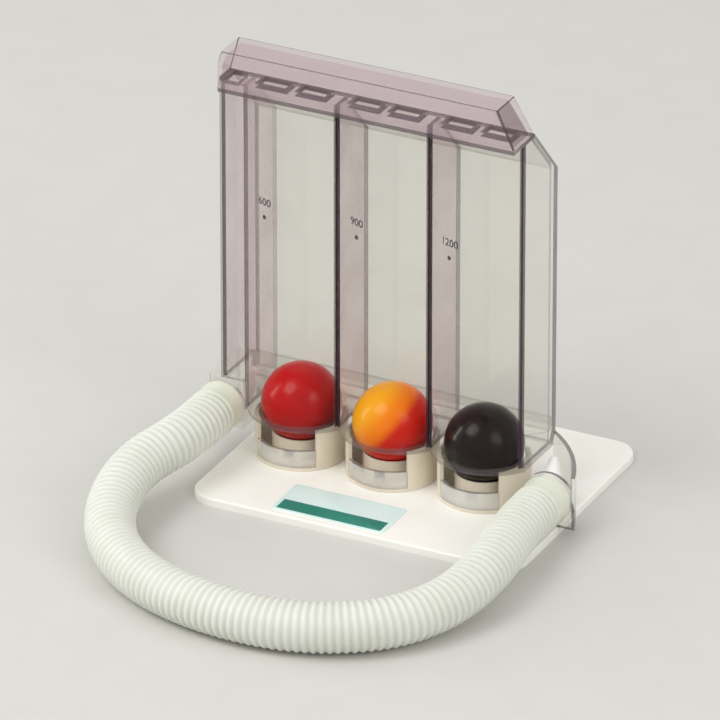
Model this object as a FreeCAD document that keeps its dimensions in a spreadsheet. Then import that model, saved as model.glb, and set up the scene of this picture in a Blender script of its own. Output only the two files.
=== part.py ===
import FreeCAD, Part
import math
import os

import Sketcher

# Breathing exerciser with three balls, in millimetres.
# +X is to the user's right, -Y is the front, +Z is up.
# The origin is the centre of the base plate's underside.

doc = FreeCAD.newDocument("BreathingExerciser")

# Driving dimensions
SIZES = {
    # white base plate
    "base_width": 116.0,
    "base_depth": 94.0,
    "base_thickness": 2.7,
    "base_corner": 9.0,
    "base_edge_round": 0.7,
    # label stuck on the front of the base plate
    "label_width": 39.5,
    "label_depth": 18.0,
    "label_thickness": 0.3,
    "label_centre_from_left": 48.8,
    "label_centre_from_front": 11.8,
    # clear housing
    "wall": 1.5,
    "window_wall": 1.4,
    "duct_overhang": 4.8,
    "duct_inside": 6.35,
    "chamber_inside": 30.9,
    "front_setback": 36.0,
    "bow_depth": 8.7,
    "back_inside": 20.2,
    "web_depth": 23.2,
    "floor_height": 13.8,
    "ceiling_height": 130.3,
    "ceiling_depth": 6.0,
    "slope_drop": 19.0,
    "roof_upright": 2.3,
    "web_foot_height": 18.2,
    "rail_height": 5.0,
    # balls, their seats and the clear guards in front of them
    "ball_radius": 13.0,
    "ball_height": 17.8,
    "ball_setback": 6.5,
    "ball_clearance": 0.2,
    "ball_hole_clearance": 0.7,
    "seat_foot": 1.2,
    "seat_ring_radius": 9.6,
    "seat_bore_radius": 6.0,
    "seat_ring_height": 8.3,
    "seat_notch_width": 4.0,
    "seat_notch_height": 3.2,
    "seat_notch_overrun": 0.5,
    "collar_radius": 15.0,
    "collar_wall": 1.4,
    "collar_opening": 90.0,
    "guard_height": 7.2,
    "guard_side_turn": 1.2,
    # air outlets in the ceiling and the hood over them
    "outlet_width": 9.2,
    "outlet_depth": 4.5,
    "outlet_rib": 4.6,
    "outlet_setback": 1.2,
    "duct_outlet_depth": 7.0,
    "cap_height": 11.9,
    "cap_wall": 1.4,
    "cap_left_inset": 3.5,
    "cap_right_inset": 6.8,
    "cap_front_inset": 1.9,
    "cap_rear_inset": 0.4,
    "cap_edge_round": 0.9,
    "cap_corner": 3.2,
    # suction port low on the left
    "elbow_width": 13.05,
    "elbow_height": 17.1,
    "elbow_rise": 9.0,
    "elbow_wall": 1.4,
    "elbow_corner": 3.0,
    "port_bore_radius": 4.7,
    "spigot_radius": 6.2,
    "spigot_length": 11.0,
    "spigot_flange_radius": 7.6,
    "spigot_flange": 1.5,
    # hose
    "hose_radius": 8.2,
    "hose_bore_radius": 6.6,
    "cuff_length": 9.0,
    "cuff_fit": 0.05,
    # mouthpiece and the clear holder beside the right wall
    "dock_from_wall": 10.75,
    "dock_setback": 3.0,
    "dock_height": 9.7,
    "mouth_neck_radius": 5.8,
    "mouth_bore_radius": 4.6,
    "mouth_flange_radius": 7.4,
    "mouth_flange": 1.2,
    "mouth_length": 13.5,
    "mouth_tip_thickness": 5.6,
    "mouth_tip_height": 13.6,
    "mouth_tip_wall": 1.1,
    "mouth_tip_shift": 5.0,
    "holder_wall": 1.4,
    "holder_height": 18.3,
    "holder_reach": 19.4,
    "holder_bulge": 2.5,
    "holder_arch_margin": 0.4,
    "holder_clearance": 0.35,
    # how far a cutting tool runs past the face it opens
    "cut_past": 1.0,
}

# Places worked out from the sizes
PLACES = {
    "base_left": "-Sizes.base_width / 2",
    "base_front": "-Sizes.base_depth / 2",
    "base_top": "Sizes.base_thickness",
    "pitch": "Sizes.chamber_inside + Sizes.wall",
    "house_left": "base_left - Sizes.duct_overhang",
    "duct_left": "house_left + Sizes.wall",
    "duct_right": "duct_left + Sizes.duct_inside",
    "chambers_left": "duct_right + Sizes.wall",
    "house_right": "chambers_left + 3 * pitch",
    "line_y": "base_front + Sizes.front_setback",
    "bow_front": "line_y - Sizes.bow_depth",
    "back_front": "line_y + Sizes.back_inside",
    "back_rear": "back_front + Sizes.wall",
    "web_rear": "line_y + Sizes.web_depth",
    "slope_y": "line_y + Sizes.ceiling_depth",
    "slope_rate": "Sizes.slope_drop / (web_rear - slope_y)",
    "floor_low": "base_top + Sizes.floor_height",
    "floor_high": "floor_low + Sizes.wall",
    "ceiling_high": "base_top + Sizes.ceiling_height",
    "ceiling_low": "ceiling_high - Sizes.wall",
    "web_foot": "base_top + Sizes.web_foot_height",
    "bow_radius": "(pitch * pitch / 4 + Sizes.bow_depth * Sizes.bow_depth) / (2 * Sizes.bow_depth)",
    "bow_centre_y": "bow_front + bow_radius",
    "ball_y": "line_y + Sizes.ball_setback",
    "ball_z": "base_top + Sizes.ball_height",
    "collar_bore": "Sizes.collar_radius - Sizes.collar_wall",
    "elbow_right": "duct_right",
    "elbow_left": "elbow_right - Sizes.elbow_width",
    "elbow_high": "floor_high + Sizes.elbow_rise",
    "elbow_low": "elbow_high - Sizes.elbow_height",
    "elbow_front": "line_y - Sizes.window_wall",
    "corner_run": "elbow_front - bow_front",
    "corner_slant": "sqrt(Sizes.cap_corner * Sizes.cap_corner + corner_run * corner_run)",
    "corner_shift": "Sizes.cap_wall * corner_slant / corner_run",
    "port_x": "(elbow_left + elbow_right) / 2",
    "port_z": "(elbow_low + elbow_high) / 2",
    "port_face": "elbow_front - Sizes.spigot_flange",
    "port_hose_y": "port_face - Sizes.cuff_length",
    "dock_x": "house_right + Sizes.dock_from_wall",
    "dock_y": "line_y - Sizes.dock_setback",
    "dock_z": "base_top + Sizes.dock_height",
    "dock_cuff_y": "dock_y - Sizes.holder_wall - Sizes.mouth_flange",
    "dock_hose_y": "dock_cuff_y - Sizes.cuff_length",
    "holder_right": "house_right + Sizes.holder_reach",
    "holder_rear": "web_rear",
    "holder_run": "holder_rear - dock_y",
    "holder_chord": "sqrt(Sizes.holder_reach * Sizes.holder_reach + holder_run * holder_run)",
    "holder_radius": "(holder_chord * holder_chord / 4 + Sizes.holder_bulge * Sizes.holder_bulge)"
                     " / (2 * Sizes.holder_bulge)",
    "holder_centre_x": "house_right + Sizes.holder_reach / 2"
                       " - (holder_radius - Sizes.holder_bulge) * holder_run / holder_chord",
    "holder_centre_y": "(holder_rear + dock_y) / 2"
                       " - (holder_radius - Sizes.holder_bulge) * Sizes.holder_reach / holder_chord",
}

sheet = doc.addObject("Spreadsheet::Sheet", "Sizes")
for row, (alias, value) in enumerate(SIZES.items(), start=1):
    sheet.set(f"A{row}", alias)
    sheet.set(f"B{row}", str(value))
    sheet.setAlias(f"B{row}", alias)

places = doc.addObject("Spreadsheet::Sheet", "Places")
for row, (alias, formula) in enumerate(PLACES.items(), start=1):
    places.set(f"A{row}", alias)
    places.setAlias(f"B{row}", alias)
for row, formula in enumerate(PLACES.values(), start=1):
    places.set(f"B{row}", "=" + formula)
doc.recompute()


def place(alias):
    return f"Places.{alias}"


def size(alias):
    return f"Sizes.{alias}"


def bind(thing, **expressions):
    """Tie properties to expressions on the sheets; x, y and z are the placement's."""
    for name, expression in expressions.items():
        path = f"Placement.Base.{name}" if name in ("x", "y", "z") else name
        thing.setExpression(path, expression)
    return thing


def box(name, x_low, x_high, y_low, y_high, z_low, z_high):
    """A cuboid between two corners."""
    cuboid = doc.addObject("Part::Box", name)
    return bind(
        cuboid,
        Length=f"({x_high}) - ({x_low})",
        Width=f"({y_high}) - ({y_low})",
        Height=f"({z_high}) - ({z_low})",
        x=x_low,
        y=y_low,
        z=z_low,
    )


def upright(name, radius, x, y, z_low, z_high, sweep=None, start=0.0):
    """A cylinder standing on Z, or a slice of one that starts at an angle from +X."""
    cylinder = doc.addObject("Part::Cylinder", name)
    cylinder.Placement.Rotation = FreeCAD.Rotation(FreeCAD.Vector(0, 0, 1), start)
    bind(cylinder, Radius=radius, Height=f"({z_high}) - ({z_low})", x=x, y=y, z=z_low)
    if sweep:
        bind(cylinder, Angle=sweep)
    return cylinder


def lying(name, radius, x, z, y_low, y_high):
    """A cylinder lying along Y, from y_low back to y_high."""
    cylinder = doc.addObject("Part::Cylinder", name)
    cylinder.Placement.Rotation = FreeCAD.Rotation(FreeCAD.Vector(1, 0, 0), -90)
    return bind(cylinder, Radius=radius, Height=f"({y_high}) - ({y_low})", x=x, y=y_low, z=z)


def cut(name, base, tool):
    result = doc.addObject("Part::Cut", name)
    result.Base = base
    result.Tool = tool
    return result


def fuse(name, *pieces):
    result = doc.addObject("Part::MultiFuse", name)
    result.Shapes = list(pieces)
    return result


def common(name, *pieces):
    result = doc.addObject("Part::MultiCommon", name)
    result.Shapes = list(pieces)
    return result


def origin_plane(body, role):
    return next(item for item in body.Origin.OriginFeatures if item.Role == role)


def plate(name, plane, level, thickness, corners):
    """A flat plate padded from a polygon whose corners are pairs of expressions."""
    body = doc.addObject("PartDesign::Body", name)
    sketch = body.newObject("Sketcher::SketchObject", f"{name}_outline")
    sketch.AttachmentSupport = [(origin_plane(body, plane), "")]
    sketch.MapMode = "FlatFace"
    sketch.setExpression("AttachmentOffset.Base.z", level)
    start = [FreeCAD.Vector(math.cos(turn), math.sin(turn), 0)
             for turn in (2 * math.pi * i / len(corners) for i in range(len(corners)))]
    for i in range(len(corners)):
        sketch.addGeometry(Part.LineSegment(start[i], start[(i + 1) % len(corners)]), False)
    for i in range(len(corners)):
        sketch.addConstraint(Sketcher.Constraint("Coincident", i, 2, (i + 1) % len(corners), 1))
    for i, (across, up) in enumerate(corners):
        for kind, expression, value in (("DistanceX", across, start[i].x), ("DistanceY", up, start[i].y)):
            number = sketch.addConstraint(Sketcher.Constraint(kind, i, 1, value))
            sketch.setExpression(f"Constraints[{number}]", expression)
    pad = body.newObject("PartDesign::Pad", f"{name}_pad")
    pad.Profile = sketch
    pad.setExpression("Length", thickness)
    return body


parts = {}
# lengths closer than this count as equal
SAME = 0.01


def keep(node, thing):
    """Name a finished sub-part."""
    thing.Label = node
    parts[node] = thing
    return thing


# Base plate: a rounded white sheet with a softened top edge
base = plate(
    "base_plate", "XY_Plane", "0", size("base_thickness"),
    [
        (place("base_left"), place("base_front")),
        ("-" + place("base_left"), place("base_front")),
        ("-" + place("base_left"), "-" + place("base_front")),
        (place("base_left"), "-" + place("base_front")),
    ],
)
doc.recompute()
pad = base.Tip
corner_edges = [f"Edge{i}" for i, edge in enumerate(pad.Shape.Edges, start=1)
                if abs(edge.Vertexes[0].Z - edge.Vertexes[-1].Z) > SAME]
corners = base.newObject("PartDesign::Fillet", "base_corners")
corners.Base = (pad, corner_edges)
corners.setExpression("Radius", size("base_corner"))
doc.recompute()
top_z = places.get("base_top")
top_edges = [f"Edge{i}" for i, edge in enumerate(corners.Shape.Edges, start=1)
             if all(abs(vertex.Z - top_z) < SAME for vertex in edge.Vertexes)]
rim = base.newObject("PartDesign::Fillet", "base_rim")
rim.Base = (corners, top_edges)
rim.setExpression("Radius", size("base_edge_round"))
keep("base_plate", base)

# Label on the base plate
label_x = f"{place('base_left')} + {size('label_centre_from_left')}"
label_y = f"{place('base_front')} + {size('label_centre_from_front')}"
keep("label_plate", box(
    "label_plate",
    f"{label_x} - {size('label_width')} / 2", f"{label_x} + {size('label_width')} / 2",
    f"{label_y} - {size('label_depth')} / 2", f"{label_y} + {size('label_depth')} / 2",
    place("base_top"), f"{place('base_top')} + {size('label_thickness')}",
))

# Ball seats, the balls and the clear guards, one set under each chamber
SIDES = ("left", "middle", "right")
BALLS = ("ball_red", "ball_yellow", "ball_dark")


def chamber_x(index):
    return f"{place('chambers_left')} + {size('chamber_inside')} / 2 + {index} * {place('pitch')}"


def ball_seat(index, side):
    """White seat: a foot, a ring that the ball rests in, and two collar walls that carry the floor."""
    x = chamber_x(index)
    y = place("ball_y")
    low = place("base_top")
    foot_top = f"{low} + {size('seat_foot')}"
    ring_top = f"{low} + {size('seat_ring_height')}"
    foot = upright(f"seat_foot_{side}", size("collar_radius"), x, y, low, foot_top)
    ring = upright(f"seat_ring_{side}", size("seat_ring_radius"), x, y, low, ring_top)
    collar_outer = upright(f"collar_outer_{side}", size("collar_radius"), x, y, low, place("floor_low"))
    collar_inner = upright(f"collar_inner_{side}", place("collar_bore"), x, y, low, place("floor_low"))
    collar = cut(f"collar_{side}", collar_outer, collar_inner)
    openings = []
    for face, middle in (("front", 270), ("rear", 90)):
        slice_name = f"collar_{face}_opening_{side}"
        opening = upright(slice_name, f"{size('collar_radius')} + {size('cut_past')}", x, y, foot_top,
                          f"{place('floor_low')} + {size('cut_past')}", sweep=size("collar_opening"))
        opening.setExpression("Placement.Rotation.Angle", f"{middle} - {size('collar_opening')} / 2")
        openings.append(opening)
    collar_walls = cut(f"collar_walls_{side}", collar, fuse(f"collar_openings_{side}", *openings))
    solid = fuse(f"seat_solid_{side}", foot, ring, collar_walls)
    hollow = upright(f"seat_bore_{side}", size("seat_bore_radius"), x, y, foot_top,
                     f"{ring_top} + {size('cut_past')}")
    dish = doc.addObject("Part::Sphere", f"seat_dish_{side}")
    bind(dish, Radius=f"{size('ball_radius')} + {size('ball_clearance')}", x=x, y=y, z=place("ball_z"))
    half_notch = f"{size('seat_notch_width')} / 2"
    reach = f"{size('seat_ring_radius')} + {size('seat_notch_overrun')}"
    notch_top = f"{foot_top} + {size('seat_notch_height')}"
    across = box(f"notch_across_{side}", f"{x} - ({reach})", f"{x} + {reach}", f"{y} - {half_notch}",
                 f"{y} + {half_notch}", foot_top, notch_top)
    along = box(f"notch_along_{side}", f"{x} - {half_notch}", f"{x} + {half_notch}", f"{y} - ({reach})",
                f"{y} + {reach}", foot_top, notch_top)
    return cut(f"ball_seat_{side}", solid, fuse(f"seat_hollows_{side}", hollow, dish, across, along))


def seat_guard(index, side):
    """Clear curved guard that stands in the collar's front opening."""
    x = chamber_x(index)
    y = place("ball_y")
    low = f"{place('base_top')} + {size('seat_foot')}"
    high = f"{place('base_top')} + {size('guard_height')}"
    side_turn = size("guard_side_turn")
    outer = upright(f"guard_outer_{side}", size("collar_radius"), x, y, low, high,
                    sweep=f"{size('collar_opening')} - 2 * {side_turn}")
    outer.setExpression("Placement.Rotation.Angle", f"270 - {size('collar_opening')} / 2 + {side_turn}")
    inner = upright(f"guard_inner_{side}", place("collar_bore"), x, y, low, high)
    return cut(f"seat_guard_{side}", outer, inner)


def ball(index, node):
    sphere = doc.addObject("Part::Sphere", node)
    return bind(sphere, Radius=size("ball_radius"), x=chamber_x(index), y=place("ball_y"), z=place("ball_z"))


for index, side in enumerate(SIDES):
    keep(f"ball_seat_{side}", ball_seat(index, side))
    keep(f"seat_guard_{side}", seat_guard(index, side))
    keep(BALLS[index], ball(index, BALLS[index]))


# Housing floor: a plate with three lobes under the bowed windows and a hole for each ball
def housing_floor():
    low = place("floor_low")
    high = place("floor_high")
    deck = box("floor_deck", place("duct_right"), place("house_right"), place("line_y"),
               place("back_rear"), low, high)
    lobes = []
    holes = []
    for index, side in enumerate(SIDES):
        lobes.append(upright(f"floor_round_{side}", place("bow_radius"), chamber_x(index),
                             place("bow_centre_y"), low, high))
        holes.append(upright(f"floor_hole_{side}", f"{size('ball_radius')} + {size('ball_hole_clearance')}",
                             chamber_x(index), place("ball_y"), low, high))
    front = box("floor_front", place("duct_right"), place("house_right"), place("bow_front"),
                place("line_y"), low, high)
    rounds = common("floor_lobes", fuse("floor_rounds", *lobes), front)
    return cut("housing_floor", fuse("floor_solid", deck, rounds), fuse("floor_holes", *holes))


keep("housing_floor", housing_floor())


# Upright walls of the housing, as profiles in the plane of depth and height
def roof_line(y, drop="0"):
    return f"{place('ceiling_high')} - {place('slope_rate')} * ({y} - {place('slope_y')}) - ({drop})"


def outer_wall(node, x_low, foot):
    """A side wall with the sloping rear shoulder; it runs back past the back panel as a web."""
    return plate(node, "YZ_Plane", x_low, size("wall"), foot + [
        (place("web_rear"), roof_line(place("web_rear"))),
        (place("slope_y"), place("ceiling_high")),
        (place("slope_y"), place("ceiling_low")),
        (place("line_y"), place("ceiling_low")),
    ])


def inner_wall(node, x_low):
    """A partition under the ceiling and the sloping roof."""
    return plate(node, "YZ_Plane", x_low, size("wall"), [
        (place("line_y"), place("floor_high")),
        (place("back_front"), place("floor_high")),
        (place("back_front"), roof_line(place("back_front"), size("roof_upright"))),
        (place("slope_y"), roof_line(place("slope_y"), size("roof_upright"))),
        (place("slope_y"), place("ceiling_low")),
        (place("line_y"), place("ceiling_low")),
    ])


left_foot = [
    (place("line_y"), place("elbow_high")),
    (place("back_front"), place("elbow_high")),
    (place("back_front"), place("web_foot")),
    (place("web_rear"), place("web_foot")),
]
right_foot = [
    (place("line_y"), place("floor_high")),
    (place("back_rear"), place("floor_high")),
    (place("web_rear"), place("web_foot")),
]
right_wall_x = f"{place('house_right')} - {size('wall')}"
keep("side_wall_left", outer_wall("side_wall_left", place("house_left"), left_foot))
keep("side_wall_right", outer_wall("side_wall_right", right_wall_x, right_foot))
keep("duct_wall", inner_wall("duct_wall", place("duct_right")))
for number, node in ((1, "partition_left"), (2, "partition_right")):
    wall_x = f"{place('chambers_left')} + {number} * {place('pitch')} - {size('wall')}"
    keep(node, inner_wall(node, wall_x))

# Back panel and roof panel between the side walls, and the rail across the webs
inside_width = f"{right_wall_x} - ({place('duct_left')})"
keep("back_panel", plate("back_panel", "YZ_Plane", place("duct_left"), inside_width, [
    (place("back_front"), place("floor_high")),
    (place("back_rear"), place("floor_high")),
    (place("back_rear"), roof_line(place("back_rear"), size("roof_upright"))),
    (place("back_front"), roof_line(place("back_front"), size("roof_upright"))),
]))
keep("roof_panel", plate("roof_panel", "YZ_Plane", place("duct_left"), inside_width, [
    (place("slope_y"), roof_line(place("slope_y"), size("roof_upright"))),
    (place("back_rear"), roof_line(place("back_rear"), size("roof_upright"))),
    (place("back_rear"), roof_line(place("back_rear"))),
    (place("slope_y"), place("ceiling_high")),
]))
keep("rear_rail", box(
    "rear_rail", place("duct_left"), right_wall_x, f"{place('web_rear')} - {size('wall')}",
    place("web_rear"), place("web_foot"), f"{place('web_foot')} + {size('rail_height')}",
))


# Bowed windows, one in front of each chamber, and the flat front of the air duct
def bowed_window(index, side):
    x = chamber_x(index)
    low = place("floor_high")
    high = place("ceiling_low")
    outer = upright(f"bow_outer_{side}", place("bow_radius"), x, place("bow_centre_y"), low, high)
    inner = upright(f"bow_inner_{side}", f"{place('bow_radius')} - {size('window_wall')}", x,
                    place("bow_centre_y"), low, high)
    ahead = box(f"bow_space_{side}", f"{x} - {place('pitch')} / 2", f"{x} + {place('pitch')} / 2",
                place("bow_front"), place("line_y"), low, high)
    return common(f"front_window_{side}", cut(f"bow_shell_{side}", outer, inner), ahead)


for index, side in enumerate(SIDES):
    keep(f"front_window_{side}", bowed_window(index, side))
keep("duct_front", box(
    "duct_front", place("house_left"), f"{place('chambers_left')} - {size('wall')} / 2",
    place("elbow_front"), place("line_y"), place("elbow_high"), place("ceiling_low"),
))


# The ceiling and the hood lose their front left corner, so that they don't stand out past the duct
def lost_corner(name, inward):
    """An upright prism on three corners; inward moves its slanted face into the hood."""
    left = f"{place('house_left')} - {size('cap_corner')} + ({inward})"
    front = f"{place('bow_front')} - {place('corner_run')}"
    return plate(name, "XY_Plane", place("ceiling_low"), f"{size('wall')} + {size('cap_height')}", [
        (left, f"{place('elbow_front')} + {place('corner_run')}"),
        (left, front),
        (f"{left} + 3 * {size('cap_corner')}", front),
    ])


# Outlet plate: the ceiling, with two air slots and a rib between them over each chamber
def outlet_plate():
    low = place("ceiling_low")
    high = place("ceiling_high")
    rear = f"{place('slope_y')} - {size('outlet_setback')}"
    deck = box("outlet_deck", place("house_left"), place("house_right"), place("bow_front"),
               place("slope_y"), low, high)
    slots = [box("duct_outlet", f"{place('duct_left')} + {size('wall')} / 2",
                 f"{place('duct_right')} - {size('wall')} / 2",
                 f"{rear} - {size('duct_outlet_depth')}", rear, low, high)]
    for index, side in enumerate(SIDES):
        middle = chamber_x(index)
        for word, start in (("a", f"-{size('outlet_rib')} / 2 - {size('outlet_width')}"),
                            ("b", f"{size('outlet_rib')} / 2")):
            slots.append(box(
                f"outlet_{side}_{word}", f"{middle} + ({start})",
                f"{middle} + ({start}) + {size('outlet_width')}",
                f"{rear} - {size('outlet_depth')}", rear, low, high))
    return cut("outlet_plate", deck, fuse("outlet_slots", lost_corner("deck_corner", "0"), *slots))


keep("outlet_plate", outlet_plate())


# Top cap: a hollow hood with sloping ends that joins the outlets to the duct
def hood(body, name, inward, drop):
    """A wedge whose length runs up the hood; inward is how far its faces lie inside the outside."""
    wedge = body.newObject("PartDesign::AdditiveWedge", name)
    wedge.Placement.Rotation = FreeCAD.Rotation(FreeCAD.Vector(1, 0, 0), 90)
    top = f"{place('ceiling_high')} + {size('cap_height')} - ({drop})"
    bind(
        wedge,
        Xmin=f"{place('house_left')} + ({inward})",
        Xmax=f"{place('house_right')} - ({inward})",
        X2min=f"{place('house_left')} + {size('cap_left_inset')} + ({inward})",
        X2max=f"{place('house_right')} - {size('cap_right_inset')} - ({inward})",
        Ymin=place("ceiling_high"),
        Ymax=top,
        Zmin=f"-({place('slope_y')}) + ({inward})",
        Zmax=f"-({place('bow_front')}) - ({inward})",
        Z2min=f"-({place('slope_y')}) + {size('cap_rear_inset')} + ({inward})",
        Z2max=f"-({place('bow_front')}) - {size('cap_front_inset')} - ({inward})",
    )
    return wedge


def top_cap():
    body = doc.addObject("PartDesign::Body", "cap_full")
    outside = hood(body, "cap_outside", "0", "0")
    doc.recompute()
    foot = places.get("ceiling_high")
    edges = [f"Edge{i}" for i, edge in enumerate(outside.Shape.Edges, start=1)
             if max(vertex.Z for vertex in edge.Vertexes) > foot + SAME]
    softened = body.newObject("PartDesign::Fillet", "cap_softened")
    softened.Base = (outside, edges)
    softened.setExpression("Radius", size("cap_edge_round"))
    hollow = doc.addObject("PartDesign::Body", "cap_hollow")
    hood(hollow, "cap_inside", size("cap_wall"), size("cap_wall"))
    shell = cut("cap_shell", body, lost_corner("cap_corner_outside", "0"))
    room = cut("cap_room", hollow, lost_corner("cap_corner_inside", place("corner_shift")))
    return cut("top_cap", shell, room)


keep("top_cap", top_cap())


# Suction port: a hollow elbow box under the duct and the spigot on its front
def port_elbow():
    outside = plate("elbow_outside", "XY_Plane", place("elbow_low"), size("elbow_height"), [
        (place("elbow_left"), place("elbow_front")),
        (place("elbow_right"), place("elbow_front")),
        (place("elbow_right"), place("back_front")),
        (place("elbow_left"), place("back_front")),
    ])
    doc.recompute()
    pad = outside.Tip
    left = places.get("elbow_left")
    edges = [f"Edge{i}" for i, edge in enumerate(pad.Shape.Edges, start=1)
             if all(abs(vertex.X - left) < SAME for vertex in edge.Vertexes)
             and abs(edge.Vertexes[0].Z - edge.Vertexes[-1].Z) > SAME]
    rounded = outside.newObject("PartDesign::Fillet", "elbow_rounded")
    rounded.Base = (pad, edges)
    rounded.setExpression("Radius", size("elbow_corner"))
    wall = size("elbow_wall")
    room = box("elbow_room", f"{place('elbow_left')} + {wall}", f"{place('elbow_right')} - {wall}",
               f"{place('elbow_front')} + {wall}", f"{place('back_front')} - {wall}",
               f"{place('elbow_low')} + {wall}", f"{place('elbow_high')} - {wall}")
    neck = box("elbow_neck", place("duct_left"), f"{place('duct_right')} - {wall}",
               place("line_y"), f"{place('back_front')} - {wall}",
               f"{place('elbow_high')} - {wall}", place("elbow_high"))
    bore = lying("elbow_bore", size("port_bore_radius"), place("port_x"), place("port_z"),
                 place("elbow_front"), f"{place('elbow_front')} + {wall}")
    return cut("port_elbow", outside, fuse("elbow_hollows", room, neck, bore))


def port_spigot():
    """A flanged tube that points forward."""
    front = f"{place('elbow_front')} - {size('spigot_length')}"
    flange = lying("spigot_flange", size("spigot_flange_radius"), place("port_x"), place("port_z"),
                   place("port_face"), place("elbow_front"))
    tube = lying("spigot_tube", size("spigot_radius"), place("port_x"), place("port_z"),
                 front, place("elbow_front"))
    bore = lying("spigot_bore", size("port_bore_radius"), place("port_x"), place("port_z"),
                 front, place("elbow_front"))
    return cut("port_spigot", fuse("spigot_solid", flange, tube), bore)


keep("port_elbow", port_elbow())
keep("port_spigot", port_spigot())


# Smooth cuffs at the two ends of the hose
def hose_cuff(node, x, z, front, rear, held_radius):
    outer = lying(f"{node}_outer", size("hose_radius"), x, z, front, rear)
    inner = lying(f"{node}_inner", f"{held_radius} + {size('cuff_fit')}", x, z, front, rear)
    return cut(node, outer, inner)


keep("hose_cuff_port", hose_cuff("hose_cuff_port", place("port_x"), place("port_z"),
                                 place("port_hose_y"), place("port_face"), size("spigot_radius")))
keep("hose_cuff_mouth", hose_cuff("hose_cuff_mouth", place("dock_x"), place("dock_z"),
                                  place("dock_hose_y"), place("dock_cuff_y"),
                                  size("mouth_neck_radius")))


# Mouthpiece holder: an arched ring plate and a curved wall that close a pocket beside the right wall
def mouthpiece_holder():
    low = place("base_top")
    high = f"{place('base_top')} + {size('holder_height')}"
    face = f"{place('dock_y')} - {size('holder_wall')}"
    far = f"{place('holder_right')} + 2 * {size('holder_wall')}"
    outer = upright("holder_outer", place("holder_radius"), place("holder_centre_x"),
                    place("holder_centre_y"), low, high)
    inner = upright("holder_inner", f"{place('holder_radius')} - {size('holder_wall')}",
                    place("holder_centre_x"), place("holder_centre_y"), low, high)
    beside = box("holder_space", place("house_right"), far, face, place("holder_rear"), low, high)
    wall = common("holder_wall", cut("holder_shell", outer, inner), beside)
    arch_radius = f"{size('hose_radius')} + {size('holder_arch_margin')}"
    legs = box("holder_legs", place("house_right"), place("holder_right"), face, place("dock_y"),
               low, place("dock_z"))
    round_top = lying("holder_round_top", arch_radius, place("dock_x"), place("dock_z"), face,
                      place("dock_y"))
    bay = box("holder_bay", place("house_right"), place("holder_right"), face, place("dock_y"), low, high)
    arch = common("holder_arch", round_top, bay)
    hole = lying("holder_hole", f"{size('mouth_neck_radius')} + {size('holder_clearance')}",
                 place("dock_x"), place("dock_z"), face, place("dock_y"))
    return cut("mouthpiece_holder", fuse("holder_solid", wall, legs, arch), hole)


keep("mouthpiece_holder", mouthpiece_holder())
doc.recompute()


# The mouthpiece is a loft from its round neck to a flat upright tip that leans towards the wall
def ring(radius_across, radius_up, x, y, z):
    """A closed oval wire in a plane of constant depth."""
    if abs(radius_across - radius_up) < SAME:
        curve = Part.Circle(FreeCAD.Vector(x, y, z), FreeCAD.Vector(0, 1, 0), radius_up)
        return Part.Wire(curve.toShape())
    centre = FreeCAD.Vector(x, y, z)
    top = FreeCAD.Vector(x, y, z + radius_up)
    beside = FreeCAD.Vector(x + radius_across, y, z)
    return Part.Wire(Part.Ellipse(top, beside, centre).toShape())


def mouthpiece_shape():
    x = places.get("dock_x")
    z = places.get("dock_z")
    neck = sheet.get("mouth_neck_radius")
    bore = sheet.get("mouth_bore_radius")
    flange_front = places.get("dock_cuff_y")
    flange_rear = flange_front + sheet.get("mouth_flange")
    start = places.get("dock_y")
    end = start + sheet.get("mouth_length")
    front = places.get("dock_hose_y")
    back_along = FreeCAD.Vector(0, 1, 0)
    tip_x = x - sheet.get("mouth_tip_shift")
    tip_across = sheet.get("mouth_tip_thickness") / 2
    tip_up = sheet.get("mouth_tip_height") / 2
    lip = sheet.get("mouth_tip_wall")
    stem = Part.makeCylinder(neck, start - front, FreeCAD.Vector(x, front, z), back_along)
    flange = Part.makeCylinder(sheet.get("mouth_flange_radius"), flange_rear - flange_front,
                               FreeCAD.Vector(x, flange_front, z), back_along)
    body = Part.makeLoft([ring(neck, neck, x, start, z), ring(tip_across, tip_up, tip_x, end, z)], True)
    passage = Part.makeCylinder(bore, start - front, FreeCAD.Vector(x, front, z), back_along)
    throat = Part.makeLoft([ring(bore, bore, x, start, z),
                            ring(tip_across - lip, tip_up - lip, tip_x, end, z)], True)
    return stem.fuse([flange, body]).removeSplitter().cut(passage.fuse(throat))


mouthpiece = doc.addObject("Part::Feature", "mouthpiece")
mouthpiece.Shape = mouthpiece_shape()
keep("mouthpiece", mouthpiece)

# Hose: it leaves the spigot forwards, drops to the table, turns round in front of the base
# plate and comes back over the plate's right corner to the holder.
HOSE_TURNS = [
    (-70.0, -60.0, 15.4),
    (-67.0, -83.0, 10.6),
    (-54.0, -102.5, 8.5),
    (-33.5, -116.5, 8.4),
    (-7.0, -123.0, 8.4),
    (20.0, -121.5, 8.4),
    (43.5, -108.0, 8.5),
    (55.5, -86.5, 9.4),
    (58.0, -63.0, 12.0),
]
STRAIGHT_OUT = 16.0
TANGENT_SHARE = 0.45


def hose_route():
    port = FreeCAD.Vector(places.get("port_x"), places.get("port_hose_y"), places.get("port_z"))
    dock = FreeCAD.Vector(places.get("dock_x"), places.get("dock_hose_y"), places.get("dock_z"))
    ahead = FreeCAD.Vector(0, -STRAIGHT_OUT, 0)
    return [port, port + ahead] + [FreeCAD.Vector(*turn) for turn in HOSE_TURNS] + [dock + ahead, dock]


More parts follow.
